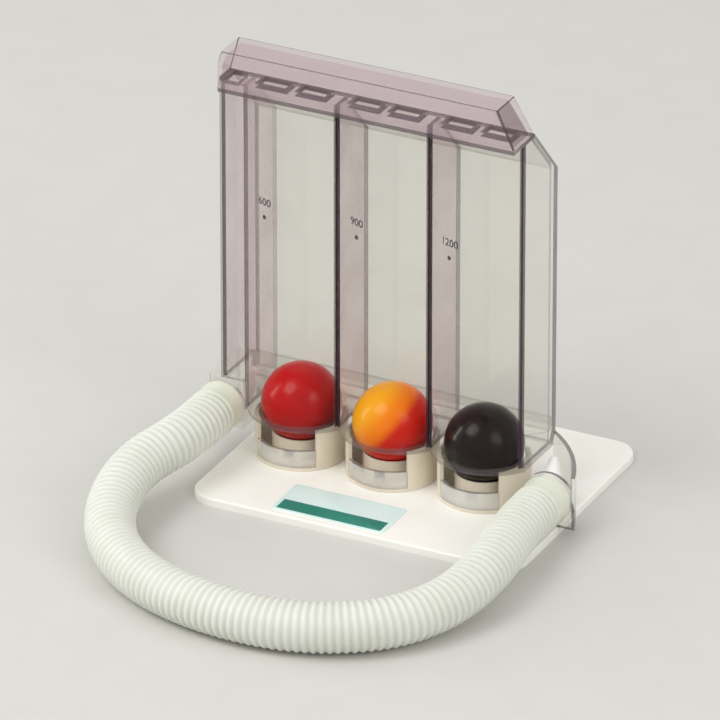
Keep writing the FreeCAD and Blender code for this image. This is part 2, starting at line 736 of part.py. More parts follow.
def rounded_path(points):
    """Straight runs joined by tangent arcs, each as large as its two runs allow."""
    edges = []
    start = points[0]
    for before, corner, after in zip(points, points[1:], points[2:]):
        back = (before - corner).normalize()
        onward = (after - corner).normalize()
        half_turn = (math.pi - back.getAngle(onward)) / 2
        tangent = TANGENT_SHARE * min((corner - before).Length, (after - corner).Length)
        radius = tangent / math.tan(half_turn)
        print(f"hose turn {math.degrees(2 * half_turn):5.1f} degrees, radius {radius:5.1f} mm")
        entry = corner + back * tangent
        leave = corner + onward * tangent
        inward = (back + onward).normalize()
        middle = corner + inward * (radius / math.cos(half_turn) - radius)
        edges.append(Part.LineSegment(start, entry).toShape())
        edges.append(Part.Arc(entry, middle, leave).toShape())
        start = leave
    edges.append(Part.LineSegment(start, points[-1]).toShape())
    return Part.Wire(edges)


def hose_shape():
    route = hose_route()
    path = rounded_path(route)
    along = (route[1] - route[0]).normalize()
    pipes = []
    for radius in (sheet.get("hose_radius"), sheet.get("hose_bore_radius")):
        section = Part.Wire(Part.Circle(route[0], along, radius).toShape())
        pipes.append(path.makePipeShell([section], True, False))
    tube = pipes[0].cut(pipes[1])
    outer, inner = sheet.get("hose_radius"), sheet.get("hose_bore_radius")
    expected = math.pi * (outer ** 2 - inner ** 2) * path.Length
    print(f"hose length {path.Length:.1f} mm, volume {tube.Volume:.0f}, section times length {expected:.0f}")
    return tube


hose = doc.addObject("Part::Feature", "hose_tube")
hose.Shape = hose_shape()
keep("hose_tube", hose)

# Check the document and write each sub-part
doc.recompute()
for thing in doc.Objects:
    if "Invalid" in thing.State or "Error" in thing.State:
        raise RuntimeError(f"{thing.Name} failed: {thing.State}")
for node, thing in parts.items():
    if thing.Shape.isNull() or not thing.Shape.isValid() or not thing.Shape.Solids:
        raise RuntimeError(f"{node} has no valid solid")

os.makedirs("parts", exist_ok=True)
for node, thing in parts.items():
    thing.Shape.exportStep(f"parts/{node}.step")
    bounds = thing.Shape.BoundBox
    print(f"{node}: {len(thing.Shape.Solids)} solid, {thing.Shape.Volume:.0f} mm3, "
          f"x {bounds.XMin:.1f} {bounds.XMax:.1f}, y {bounds.YMin:.1f} {bounds.YMax:.1f}, "
          f"z {bounds.ZMin:.1f} {bounds.ZMax:.1f}")
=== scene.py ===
# %% [markdown]
# # A breathing exerciser
#
# The object is a desk-top breathing exerciser: three light balls in clear chambers, an air duct on the
# left, a hood across the top, and a corrugated hose that comes back to a docked mouthpiece.
# A frame of solid parts already exists, in metres and in its final place. This lesson dresses that frame:
# each part gets rounded edges and a finish, and the soft or printed things are modelled from nothing.
#
# The first cell loads the frame.

import math

import bmesh
import bpy
from mathutils import Matrix, Vector


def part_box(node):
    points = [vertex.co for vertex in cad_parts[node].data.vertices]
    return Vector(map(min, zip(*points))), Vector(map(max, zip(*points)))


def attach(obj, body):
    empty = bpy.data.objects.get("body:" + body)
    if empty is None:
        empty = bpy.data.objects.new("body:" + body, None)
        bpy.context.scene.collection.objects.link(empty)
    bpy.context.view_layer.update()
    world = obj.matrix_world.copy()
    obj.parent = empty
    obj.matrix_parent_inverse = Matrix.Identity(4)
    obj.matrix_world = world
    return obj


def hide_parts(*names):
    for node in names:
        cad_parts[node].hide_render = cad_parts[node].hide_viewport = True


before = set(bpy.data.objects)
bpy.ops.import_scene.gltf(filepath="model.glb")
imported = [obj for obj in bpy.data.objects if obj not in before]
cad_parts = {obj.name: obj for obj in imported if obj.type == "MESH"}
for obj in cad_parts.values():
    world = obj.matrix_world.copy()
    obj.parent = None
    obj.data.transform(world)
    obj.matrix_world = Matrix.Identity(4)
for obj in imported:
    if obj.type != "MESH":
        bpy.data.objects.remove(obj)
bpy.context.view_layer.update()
HOUSING = "housing"

# %% [markdown]
# ## The camera comes first
#
# The object was photographed from the front right, a little above, with a long lens: its upright edges
# stay parallel. A short lens close by could show the same faces, but the verticals would lean. So the
# camera stands far away, and the lens is worked out from the width that the picture should take in.

# %% Camera
VIEW_TURN = math.radians(26.5)
VIEW_RISE = math.radians(27.0)
VIEW_DISTANCE = 3.6
PICTURE_WIDTH = 0.226
PICTURE_CENTRE = Vector((-0.003, -0.033, 0.056))

towards_camera = Vector((
    math.sin(VIEW_TURN) * math.cos(VIEW_RISE),
    -math.cos(VIEW_TURN) * math.cos(VIEW_RISE),
    math.sin(VIEW_RISE),
))
camera_data = bpy.data.cameras.new("long_lens")
camera_data.lens = camera_data.sensor_width * VIEW_DISTANCE / PICTURE_WIDTH
camera = bpy.data.objects.new("long_lens", camera_data)
camera.location = PICTURE_CENTRE + towards_camera * VIEW_DISTANCE
camera.rotation_euler = (-towards_camera).to_track_quat("-Z", "Y").to_euler()
bpy.context.scene.collection.objects.link(camera)
bpy.context.scene.camera = camera
print("lens:", round(camera_data.lens), "mm")

# %% [markdown]
# ## The hose's route
#
# A hose keeps its length and can't kink, so its line is drawn before its surface. It leaves the port
# forwards, drops to the table, turns round in front of the base plate and comes back over the plate's
# right corner. A NURBS spline of order 3 turns a few listed points into one smooth line that never
# leaves their outline. Both ends start straight, because the hose is pushed onto a stub there.

# %% Route of the hose
LINE_STEPS = 16
STRAIGHT_OUT = Vector((0.0, -0.016, 0.0))
HOSE_TURNS = [
    (-0.0700, -0.0600, 0.0154),
    (-0.0670, -0.0830, 0.0106),
    (-0.0540, -0.1025, 0.0085),
    (-0.0335, -0.1165, 0.0084),
    (-0.0070, -0.1230, 0.0084),
    (0.0200, -0.1215, 0.0084),
    (0.0435, -0.1080, 0.0085),
    (0.0555, -0.0865, 0.0094),
    (0.0580, -0.0630, 0.0120),
]


def hose_end(cuff):
    """The point in the middle of a cuff's front face, where the corrugated part starts."""
    low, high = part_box(cuff)
    return Vector(((low.x + high.x) / 2, low.y, (low.z + high.z) / 2))


port_end = hose_end("hose_cuff_port")
mouth_end = hose_end("hose_cuff_mouth")
route_points = [
    port_end, port_end + STRAIGHT_OUT,
    *map(Vector, HOSE_TURNS),
    mouth_end + STRAIGHT_OUT, mouth_end,
]

route_curve = bpy.data.curves.new("hose_route", "CURVE")
route_curve.dimensions = "3D"
spline = route_curve.splines.new("NURBS")
spline.points.add(len(route_points) - 1)
for control, point in zip(spline.points, route_points):
    control.co = (*point, 1.0)
spline.order_u = 3
spline.use_endpoint_u = True
route_curve.resolution_u = LINE_STEPS
route = bpy.data.objects.new("hose_route", route_curve)
bpy.context.scene.collection.objects.link(route)
bpy.context.view_layer.update()

line_mesh = bpy.data.meshes.new_from_object(route)
line = [vertex.co.copy() for vertex in line_mesh.vertices]
hose_length = sum((b - a).length for a, b in zip(line, line[1:]))
print("hose length:", round(hose_length * 1000, 1), "mm")

# %% [markdown]
# ## Helpers for pieces
#
# Every new piece ends the same way: a bmesh becomes a mesh, gets its finish, and is tied to the body that
# it moves with. Smooth shading is right for moulded plastic, but real edges should stay crisp, so edges
# that turn more than a chosen angle are marked sharp.

# %% Helpers for pieces
MM = 0.001
SHARP_TURN = math.radians(32)
WELD = 0.002 * MM


def smooth_but_crisp(shape, turn=SHARP_TURN):
    for face in shape.faces:
        face.smooth = True
    for edge in shape.edges:
        edge.smooth = edge.calc_face_angle(0.0) < turn


def new_piece(name, shape, material, body=HOUSING):
    """Turn a bmesh into a piece that rides on a body."""
    mesh = bpy.data.meshes.new(name)
    shape.to_mesh(mesh)
    shape.free()
    mesh.materials.append(material)
    piece = bpy.data.objects.new(name, mesh)
    bpy.context.scene.collection.objects.link(piece)
    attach(piece, body)
    return piece


def spun(profile, steps):
    """Spin a row of (along, radius) points round the X axis, closed on itself."""
    shape = bmesh.new()
    verts = [shape.verts.new((along, 0.0, radius)) for along, radius in profile]
    edges = [shape.edges.new(pair) for pair in zip(verts, verts[1:])]
    bmesh.ops.spin(shape, geom=verts + edges, cent=(0, 0, 0), axis=(1, 0, 0), angle=math.tau,
                   steps=steps, use_merge=True)
    bmesh.ops.remove_doubles(shape, verts=shape.verts, dist=WELD)
    bmesh.ops.recalc_face_normals(shape, faces=shape.faces)
    return shape


# %% [markdown]
# ## Helpers for materials
#
# A material is a small network of nodes. Short functions keep the network readable: one adds a node with
# its values, one joins two sockets, and one gives the three Object coordinates apart. Anything that several
# finishes share is put in a node group.

# %% Helpers for materials
def shader_node(tree, kind, values=None, **settings):
    made = tree.nodes.new(kind)
    for name, value in settings.items():
        setattr(made, name, value)
    for name, value in (values or {}).items():
        made.inputs[name].default_value = value
    return made


def join(tree, source, output, target, socket):
    tree.links.new(source.outputs[output], target.inputs[socket])


def object_axes(tree):
    place = shader_node(tree, "ShaderNodeTexCoord")
    axes = shader_node(tree, "ShaderNodeSeparateXYZ")
    join(tree, place, "Object", axes, 0)
    return axes


def new_material(name):
    """An empty material with only its output node."""
    material = bpy.data.materials.new(name)
    material.use_nodes = True
    tree = material.node_tree
    tree.nodes.clear()
    return material, tree, tree.nodes.new("ShaderNodeOutputMaterial")


def new_group(name, inputs, outputs):
    group = bpy.data.node_groups.new(name, "ShaderNodeTree")
    for label, kind, value in inputs:
        socket = group.interface.new_socket(name=label, in_out="INPUT", socket_type=kind)
        socket.default_value = value
    for label, kind in outputs:
        group.interface.new_socket(name=label, in_out="OUTPUT", socket_type=kind)
    return group, group.nodes.new("NodeGroupInput"), group.nodes.new("NodeGroupOutput")


def use_group(tree, group, **values):
    placed = tree.nodes.new("ShaderNodeGroup")
    placed.node_tree = group
    for name, value in values.items():
        placed.inputs[name.replace("_", " ")].default_value = value
    return placed


# %% [markdown]
# ## Moulded grain
#
# Moulded plastic is never perfectly flat. It has a faint long swell from shrinking in the mould and a
# fine matt grain. One noise for each is enough. Both are measured in millimetres on Object coordinates,
# so the grain has the same size on every part.

# %% Group: moulded grain
FLOAT = "NodeSocketFloat"
VECTOR = "NodeSocketVector"

grain_group, grain_in, grain_out = new_group(
    "moulded_grain",
    [("Grain per mm", FLOAT, 3.0), ("Swell per mm", FLOAT, 0.08), ("Swell share", FLOAT, 0.6)],
    [("Height", FLOAT), ("Patch", FLOAT)],
)
coordinates = shader_node(grain_group, "ShaderNodeTexCoord")
in_mm = shader_node(grain_group, "ShaderNodeVectorMath", operation="SCALE")
in_mm.inputs["Scale"].default_value = 1 / MM
fine = shader_node(grain_group, "ShaderNodeTexNoise", {"Detail": 3.0, "Roughness": 0.6})
swell = shader_node(grain_group, "ShaderNodeTexNoise", {"Detail": 1.0})
blend = shader_node(grain_group, "ShaderNodeMix", data_type="FLOAT")
join(grain_group, coordinates, "Object", in_mm, 0)
join(grain_group, in_mm, "Vector", fine, "Vector")
join(grain_group, in_mm, "Vector", swell, "Vector")
join(grain_group, grain_in, "Grain per mm", fine, "Scale")
join(grain_group, grain_in, "Swell per mm", swell, "Scale")
join(grain_group, grain_in, "Swell share", blend, "Factor")
join(grain_group, fine, "Fac", blend, "A")
join(grain_group, swell, "Fac", blend, "B")
join(grain_group, blend, "Result", grain_out, "Height")
join(grain_group, swell, "Fac", grain_out, "Patch")

# %% [markdown]
# ## Dark edges of clear plates
#
# Light that enters a clear plate bounces along inside it and leaves at the rim and at every rounded edge.
# So the faces look clear while the rims and edges look dark. Two groups find them from the direction
# of the surface alone:
#
# - a **rim** faces one of the directions that the plate's broad faces don't;
# - a **rounded edge** faces none of the three axes squarely.

# %% Groups: plate rims and rounded edges
rim_group, rim_in, rim_out = new_group(
    "plate_rims",
    [("Rim directions", VECTOR, (0.0, 0.0, 1.0)), ("Start", FLOAT, 0.45), ("Full", FLOAT, 0.8)],
    [("Mask", FLOAT)],
)
facing = shader_node(rim_group, "ShaderNodeTexCoord")
size_of = shader_node(rim_group, "ShaderNodeVectorMath", operation="ABSOLUTE")
kept = shader_node(rim_group, "ShaderNodeVectorMath", operation="MULTIPLY")
length = shader_node(rim_group, "ShaderNodeVectorMath", operation="LENGTH")
step = shader_node(rim_group, "ShaderNodeMapRange", interpolation_type="SMOOTHSTEP")
join(rim_group, facing, "Normal", size_of, 0)
join(rim_group, size_of, "Vector", kept, 0)
join(rim_group, rim_in, "Rim directions", kept, 1)
join(rim_group, kept, "Vector", length, 0)
join(rim_group, length, "Value", step, "Value")
join(rim_group, rim_in, "Start", step, "From Min")
join(rim_group, rim_in, "Full", step, "From Max")
join(rim_group, step, "Result", rim_out, "Mask")

edge_group, edge_in, edge_out = new_group(
    "rounded_edges",
    [("Start", FLOAT, 0.14), ("Full", FLOAT, 0.18)],
    [("Mask", FLOAT)],
)
facing = shader_node(edge_group, "ShaderNodeTexCoord")
size_of = shader_node(edge_group, "ShaderNodeVectorMath", operation="ABSOLUTE")
apart = shader_node(edge_group, "ShaderNodeSeparateXYZ")
larger = shader_node(edge_group, "ShaderNodeMath", operation="MAXIMUM")
largest = shader_node(edge_group, "ShaderNodeMath", operation="MAXIMUM")
turned = shader_node(edge_group, "ShaderNodeMath", {0: 1.0}, operation="SUBTRACT")
step = shader_node(edge_group, "ShaderNodeMapRange", interpolation_type="SMOOTHSTEP")
join(edge_group, facing, "Normal", size_of, 0)
join(edge_group, size_of, "Vector", apart, 0)
join(edge_group, apart, "X", larger, 0)
join(edge_group, apart, "Y", larger, 1)
join(edge_group, larger, "Value", largest, 0)
join(edge_group, apart, "Z", largest, 1)
join(edge_group, largest, "Value", turned, 1)
join(edge_group, turned, "Value", step, "Value")
join(edge_group, edge_in, "Start", step, "From Min")
join(edge_group, edge_in, "Full", step, "From Max")
join(edge_group, step, "Result", edge_out, "Mask")

# %% [markdown]
# ## Distances inside a chamber
#
# The three chambers repeat at an even pitch. A ping-pong of the sideways coordinate folds them onto one
# another, so one mask serves all three: zero at a chamber's left edge, growing to half a pitch at its
# centre and falling again.

# %% Group: distance to the nearest chamber edge
window_low, window_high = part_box("front_window_left")
PITCH = window_high.x - window_low.x

fold_group, fold_in, fold_out = new_group(
    "chamber_fold",
    [("First edge", FLOAT, window_low.x), ("Half pitch", FLOAT, PITCH / 2)],
    [("From edge", FLOAT), ("Depth", FLOAT)],
)
axes = object_axes(fold_group)
moved = shader_node(fold_group, "ShaderNodeMath", operation="SUBTRACT")
folded = shader_node(fold_group, "ShaderNodeMath", operation="PINGPONG")
join(fold_group, axes, "X", moved, 0)
join(fold_group, fold_in, "First edge", moved, 1)
join(fold_group, moved, "Value", folded, 0)
join(fold_group, fold_in, "Half pitch", folded, 1)
join(fold_group, folded, "Value", fold_out, "From edge")
join(fold_group, axes, "Y", fold_out, "Depth")

# %% [markdown]
# ## Clear styrene
#
# A glass shader would bend light at every face, and the render would need very many bounces to get
# through six walls. These walls are 1.5 mm thin and hardly move what is behind them. So a face lets light
# straight through with a tint, a share of it is a thin milky body, and a mirror-like shader is added by
# the Fresnel effect. Only faces turned to the viewer reflect, because the Fresnel node takes the inner
# side of a wall for the way out of solid glass.

# %% Material: clear styrene
CLEAR_IOR = 1.56
DARK_EDGE = (0.050, 0.022, 0.036)
DARK_FROM = 0.3
SWELL_LOW = 0.3
SWELL_HIGH = 0.7
HAZE_DRIFT = 0.3


def between(tree, source, output, low, high, soft):
    """1 where a value lies between two limits, with a soft border."""
    rise = shader_node(tree, "ShaderNodeMapRange", {"From Min": low - soft, "From Max": low + soft})
    fall = shader_node(tree, "ShaderNodeMapRange", {"From Min": high - soft, "From Max": high + soft,
                                                    "To Min": 1.0, "To Max": 0.0})
    both = shader_node(tree, "ShaderNodeMath", operation="MULTIPLY")
    join(tree, source, output, rise, "Value")
    join(tree, source, output, fall, "Value")
    join(tree, rise, "Result", both, 0)
    join(tree, fall, "Result", both, 1)
    return both


def darkest(tree, masks):
    """The largest of several masks, each with its own share."""
    total = shader_node(tree, "ShaderNodeValue")
    total.outputs[0].default_value = 0.0
    for mask, output, share in masks:
        scaled = shader_node(tree, "ShaderNodeMath", {1: share}, operation="MULTIPLY")
        join(tree, mask, output, scaled, 0)
        most = shader_node(tree, "ShaderNodeMath", operation="MAXIMUM")
        join(tree, total, 0, most, 0)
        join(tree, scaled, "Value", most, 1)
        total = most
    return total


def clear_styrene(name, tint, body, haze, rims=(0, 0, 0), rim_share=0.6, edge_share=0.0, shine=1.2,
                  pattern=None):
    """A clear wall: a tint, a faint milky body, dark rims and edges, and a dark pattern if one is given."""
    material, tree, out = new_material(name)
    grain = use_group(tree, grain_group, Grain_per_mm=0.9, Swell_per_mm=0.05, Swell_share=0.75)
    masks = [(use_group(tree, rim_group, Rim_directions=rims), "Mask", rim_share),
             (use_group(tree, edge_group), "Mask", edge_share)]
    if pattern:
        masks.append((pattern(tree), "Value", 1.0))
    dark = darkest(tree, masks)

    through = shader_node(tree, "ShaderNodeBsdfTransparent", {"Color": (*tint, 1.0)})
    milky = shader_node(tree, "ShaderNodeBsdfPrincipled", {"Roughness": 0.4, "Specular IOR Level": 0.1})
    colour = shader_node(tree, "ShaderNodeMix", data_type="RGBA")
    colour.inputs["A"].default_value = (*body, 1.0)
    colour.inputs["B"].default_value = (*DARK_EDGE, 1.0)
    tone = shader_node(tree, "ShaderNodeMapRange", {"From Max": DARK_FROM})
    join(tree, dark, 0, tone, "Value")
    join(tree, tone, "Result", colour, "Factor")
    join(tree, colour, "Result", milky, "Base Color")
    patch = shader_node(tree, "ShaderNodeMapRange", {
        "From Min": SWELL_LOW, "From Max": SWELL_HIGH,
        "To Min": haze * (1 - HAZE_DRIFT), "To Max": haze * (1 + HAZE_DRIFT)})
    share = shader_node(tree, "ShaderNodeMath", operation="MAXIMUM")
    wall = shader_node(tree, "ShaderNodeMixShader")
    join(tree, grain, "Patch", patch, "Value")
    join(tree, patch, "Result", share, 0)
    join(tree, dark, 0, share, 1)
    join(tree, share, "Value", wall, "Fac")
    join(tree, through, "BSDF", wall, 1)
    join(tree, milky, "BSDF", wall, 2)

    bump = shader_node(tree, "ShaderNodeBump", {"Strength": 0.25, "Distance": 0.05 * MM})
    mirror = shader_node(tree, "ShaderNodeBsdfGlossy", {"Roughness": 0.04})
    fresnel = shader_node(tree, "ShaderNodeFresnel", {"IOR": CLEAR_IOR})
    geometry = shader_node(tree, "ShaderNodeNewGeometry")
    outward = shader_node(tree, "ShaderNodeMath", {0: 1.0}, operation="SUBTRACT")
    boost = shader_node(tree, "ShaderNodeMath", {1: shine}, operation="MULTIPLY")
    seen = shader_node(tree, "ShaderNodeMath", operation="MULTIPLY", use_clamp=True)
    finish = shader_node(tree, "ShaderNodeMixShader")
    join(tree, grain, "Height", bump, "Height")
    join(tree, bump, "Normal", mirror, "Normal")
    join(tree, geometry, "Backfacing", outward, 1)
    join(tree, fresnel, "Fac", boost, 0)
    join(tree, boost, "Value", seen, 0)
    join(tree, outward, "Value", seen, 1)
    join(tree, seen, "Value", finish, "Fac")
    join(tree, wall, "Shader", finish, 1)
    join(tree, mirror, "BSDF", finish, 2)
    join(tree, finish, "Shader", out, "Surface")
    return material


# %% [markdown]
# Two patterns use the folded distance. Where two bowed windows meet there is a dark bonded seam, fainter
# at the duct, where only one window ends. Round the air outlets in the ceiling a dark border is painted
# shade, so the openings read dark. Their places are given from the middle of a chamber outwards, as the
# outlets themselves lie.

# %% Patterns and finishes of the clear parts
SEAM_WIDTH = 0.8 * MM
SEAM_SOFT = 0.15 * MM
DUCT_SEAM_SHARE = 0.35
SEAM_SHARE = 0.74
OUTLET_BORDER = 1.0 * MM
OUTLET_INNER = 2.3 * MM
OUTLET_OUTER = 11.5 * MM
OUTLET_FRONT = -10.7 * MM
OUTLET_REAR = -6.2 * MM


def bonded_seams(tree):
    fold = use_group(tree, fold_group)
    seam = between(tree, fold, "From edge", -SEAM_WIDTH, SEAM_WIDTH, SEAM_SOFT)
    beyond_duct = window_low.x + PITCH / 2
    share = shader_node(tree, "ShaderNodeMapRange", {
        "From Min": beyond_duct - SEAM_SOFT, "From Max": beyond_duct + SEAM_SOFT,
        "To Min": DUCT_SEAM_SHARE, "To Max": SEAM_SHARE})
    strength = shader_node(tree, "ShaderNodeMath", operation="MULTIPLY")
    join(tree, object_axes(tree), "X", share, "Value")
    join(tree, seam, "Value", strength, 0)
    join(tree, share, "Result", strength, 1)
    return strength


# Painted shade: a dark border round each air outlet stands in for the shade in the openings.
def painted_outlet_shade(tree):
    fold = use_group(tree, fold_group)
    near_centre = PITCH / 2 - OUTLET_INNER + OUTLET_BORDER
    near_edge = PITCH / 2 - OUTLET_OUTER - OUTLET_BORDER
    across = between(tree, fold, "From edge", near_edge, near_centre, SEAM_SOFT)
    deep = between(tree, fold, "Depth", OUTLET_FRONT - OUTLET_BORDER, OUTLET_REAR + OUTLET_BORDER, SEAM_SOFT)
    outlet_shade = shader_node(tree, "ShaderNodeMath", operation="MULTIPLY")
    join(tree, across, "Value", outlet_shade, 0)
    join(tree, deep, "Value", outlet_shade, 1)
    return outlet_shade


LILAC = (0.985, 0.960, 0.972)
DEEP_LILAC = (0.945, 0.905, 0.922)
NEUTRAL = (0.978, 0.978, 0.963)
PALE = (0.90, 0.90, 0.87)
WHITE = (0.95, 0.95, 0.93)
PALE_LILAC = (0.62, 0.50, 0.53)

clear_upright = clear_styrene("clear_upright_wall", LILAC, PALE_LILAC, 0.19, rims=(0, 1, 1), rim_share=0.9)
clear_partition = clear_styrene("clear_partition", LILAC, PALE_LILAC, 0.30, rims=(0, 1, 1), rim_share=0.9)
clear_outer = clear_styrene("clear_outer_wall", NEUTRAL, PALE, 0.10, rims=(0, 1, 1), rim_share=0.8)
clear_divider = clear_styrene("clear_duct_wall", LILAC, PALE_LILAC, 0.17, rims=(0, 1, 1), rim_share=0.4)
clear_back = clear_styrene("clear_back_wall", NEUTRAL, PALE, 0.10, rims=(1, 0, 1), rim_share=0.3)
clear_roof = clear_styrene("clear_roof", NEUTRAL, WHITE, 0.62, rims=(1, 0, 0), rim_share=0.3)
clear_window = clear_styrene("clear_window", NEUTRAL, PALE, 0.002, shine=0.22, pattern=bonded_seams)
clear_front = clear_styrene("clear_duct_front", NEUTRAL, PALE_LILAC, 0.04, rims=(1, 0, 1), rim_share=0.4)
clear_deck = clear_styrene("clear_floor", NEUTRAL, PALE, 0.05, rims=(1, 1, 0), rim_share=0.35)
clear_ceiling = clear_styrene("clear_ceiling", LILAC, PALE_LILAC, 0.05, rims=(1, 1, 0), rim_share=0.7,
                              pattern=painted_outlet_shade)
clear_hood = clear_styrene("clear_hood", DEEP_LILAC, PALE_LILAC, 0.05, edge_share=0.85, shine=0.7)
clear_fitting = clear_styrene("clear_fitting", NEUTRAL, PALE, 0.16, edge_share=0.3)
clear_guard = clear_styrene("clear_guard", NEUTRAL, PALE, 0.30, rims=(0, 0, 1), rim_share=0.35)
clear_holder = clear_styrene("clear_holder", NEUTRAL, PALE, 0.06, rims=(0, 0, 1), rim_share=0.75)

# %% [markdown]
# ## Opaque plastics
#
# The base plate, the ball seats, the balls, the hose and the mouthpiece are moulded too, but opaque or
# nearly so. They share one recipe: a roughness and a fine bump that follow the grain, and a little light
# that travels under the surface. Most of them also have a colour that drifts a little in patches.

# %% Material: opaque plastics
GRAIN_PER_MM = 3.0
ROUGH_DRIFT = 0.15


def moulded_skin(name, roughness, under=0.0, depth=1.0 * MM, grain_height=0.02 * MM):
    """A moulded finish with no colour yet. Returns the material, its tree, its grain and its shader."""
    material, tree, out = new_material(name)
    grain = use_group(tree, grain_group, Grain_per_mm=GRAIN_PER_MM, Swell_per_mm=0.06, Swell_share=0.4)
    skin = shader_node(tree, "ShaderNodeBsdfPrincipled")
    skin.inputs["Subsurface Weight"].default_value = under
    skin.inputs["Subsurface Radius"].default_value = (1.0, 0.9, 0.8)
    skin.inputs["Subsurface Scale"].default_value = depth
    rough = shader_node(tree, "ShaderNodeMapRange", {
        "From Min": SWELL_LOW, "From Max": SWELL_HIGH,
        "To Min": roughness * (1 - ROUGH_DRIFT), "To Max": roughness * (1 + ROUGH_DRIFT)})
    bump = shader_node(tree, "ShaderNodeBump", {"Strength": 0.6, "Distance": grain_height})
    join(tree, grain, "Height", rough, "Value")
    join(tree, rough, "Result", skin, "Roughness")
    join(tree, grain, "Height", bump, "Height")
    join(tree, bump, "Normal", skin, "Normal")
    join(tree, skin, "BSDF", out, "Surface")
    return material, tree, grain, skin


def moulded_plastic(name, colour, shade, roughness, **moulding):
    """A moulded finish that drifts between two near colours. Returns the material, tree and shader."""
    material, tree, grain, skin = moulded_skin(name, roughness, **moulding)
    patch = shader_node(tree, "ShaderNodeMapRange", {"From Min": 0.35, "From Max": 0.6})
    mix = shader_node(tree, "ShaderNodeMix", data_type="RGBA")
    mix.inputs["A"].default_value = (*shade, 1.0)
    mix.inputs["B"].default_value = (*colour, 1.0)
    join(tree, grain, "Patch", patch, "Value")
    join(tree, patch, "Result", mix, "Factor")
    join(tree, mix, "Result", skin, "Base Color")
    return material, tree, skin


base_white = moulded_plastic("base_white", (0.92, 0.91, 0.865), (0.89, 0.88, 0.825), 0.38, under=0.1)[0]
seat_cream = moulded_plastic("seat_cream", (0.76, 0.69, 0.57), (0.70, 0.62, 0.50), 0.34, under=0.15)[0]
mouthpiece_white = moulded_plastic("mouthpiece_white", (0.88, 0.88, 0.86), (0.84, 0.85, 0.82), 0.3,
                                   under=0.15)[0]

# %% [markdown]
# ## The corrugated hose
#
# The hose is a thin polyethylene tube blown into rings, which lets it bend without closing. The rings
# could be a bump in the material, but the outline would stay smooth. Here one ring is spun from a short
# wave, an Array modifier repeats it along the length, and a Curve modifier bends the row along the route.
# The wall then gets its thickness, and the result is kept as a plain mesh.
# Each vertex also remembers whether it is on a crest or in a valley, for the material.

# %% Hose mesh
HOSE_RADIUS = (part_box("hose_cuff_port")[1].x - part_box("hose_cuff_port")[0].x) / 2
RING_DEPTH = 0.55 * MM
RING_PITCH = 2.4 * MM
HOSE_WALL = 0.45 * MM
RING_STEPS = 44
WAVE_STEPS = 6

ring_count = round(hose_length / RING_PITCH)
ring_pitch = hose_length / ring_count
wave = []
for i in range(WAVE_STEPS + 1):
    lift = (1 - math.cos(math.tau * i / WAVE_STEPS)) / 2
    wave.append((ring_pitch * i / WAVE_STEPS, HOSE_RADIUS - RING_DEPTH * (1 - lift)))
ring = spun(wave, RING_STEPS)
crest = ring.verts.layers.float.new("crest")
for vertex in ring.verts:
    across = math.hypot(vertex.co.y, vertex.co.z)
    vertex[crest] = (across - HOSE_RADIUS + RING_DEPTH) / RING_DEPTH
if sum(face.normal.dot(face.calc_center_median() * Vector((0, 1, 1))) for face in ring.faces) < 0:
    bmesh.ops.reverse_faces(ring, faces=ring.faces)
smooth_but_crisp(ring, math.pi)

ring_mesh = bpy.data.meshes.new("hose_ring")
ring.to_mesh(ring_mesh)
ring.free()
row = bpy.data.objects.new("hose_row", ring_mesh)
bpy.context.scene.collection.objects.link(row)
repeat = row.modifiers.new("rings", "ARRAY")
repeat.count = ring_count
repeat.use_relative_offset = False
repeat.use_constant_offset = True
repeat.constant_offset_displace = (ring_pitch, 0, 0)
repeat.use_merge_vertices = True
repeat.merge_threshold = WELD
wall = row.modifiers.new("wall", "SOLIDIFY")
wall.thickness = HOSE_WALL
wall.offset = -1.0
bend = row.modifiers.new("bend", "CURVE")
bend.object = route
bend.deform_axis = "POS_X"
bpy.context.view_layer.update()
bent = row.evaluated_get(bpy.context.evaluated_depsgraph_get())
hose_mesh = bpy.data.meshes.new_from_object(bent)
bpy.data.objects.remove(row)
bpy.data.objects.remove(route)
print("rings:", ring_count, "faces:", len(hose_mesh.polygons))

# %% [markdown]
# The hose is milky and a little green-grey, whiter on the crests, where the blown wall is thinnest and
# catches the light: the darker valleys are painted shade and the whiter crests a painted highlight.
# The crest attribute mixes the two colours.

# %% Hose material and cord
hose_finish, tree, skin = moulded_plastic("hose_milky", (0.81, 0.82, 0.74), (0.77, 0.78, 0.69), 0.42,
                                          under=0.35, depth=3.0 * MM, grain_height=0.03 * MM)
patchy = skin.inputs["Base Color"].links[0].from_node
crest_value = shader_node(tree, "ShaderNodeAttribute", attribute_name="crest")
crest_mix = shader_node(tree, "ShaderNodeMix", data_type="RGBA", blend_type="MULTIPLY")
crest_mix.inputs["Factor"].default_value = 1.0
# Painted shade: the valleys are darker, where the grooves lie in shade; the crests keep the full colour as a
# painted highlight.
valley_shade = shader_node(tree, "ShaderNodeMix", data_type="RGBA")
valley_shade.inputs["A"].default_value = (0.86, 0.88, 0.84, 1.0)
valley_shade.inputs["B"].default_value = (1.0, 1.0, 1.0, 1.0)
join(tree, crest_value, "Fac", valley_shade, "Factor")
join(tree, patchy, "Result", crest_mix, "A")
join(tree, valley_shade, "Result", crest_mix, "B")
join(tree, crest_mix, "Result", skin, "Base Color")

hose_mesh.name = "corrugated_hose"
hose_mesh.materials.append(hose_finish)
hose = bpy.data.objects.new("corrugated_hose", hose_mesh)
bpy.context.scene.collection.objects.link(hose)
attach(hose, HOUSING)
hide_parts("hose_tube")

# %% [markdown]
# ## Cuffs
#
# At each end the corrugated wall runs into a smooth cuff that is pushed over a stub. A cuff is a body of
# revolution: a bead at the open end to stretch over the stub, a plain barrel, and a round shoulder down
# to the first ring. One closed profile of (along, radius) points is spun for both.

# %% Cuffs
CUFF_STEPS = 64
BARREL = 0.35 * MM
BEAD = 1.5 * MM


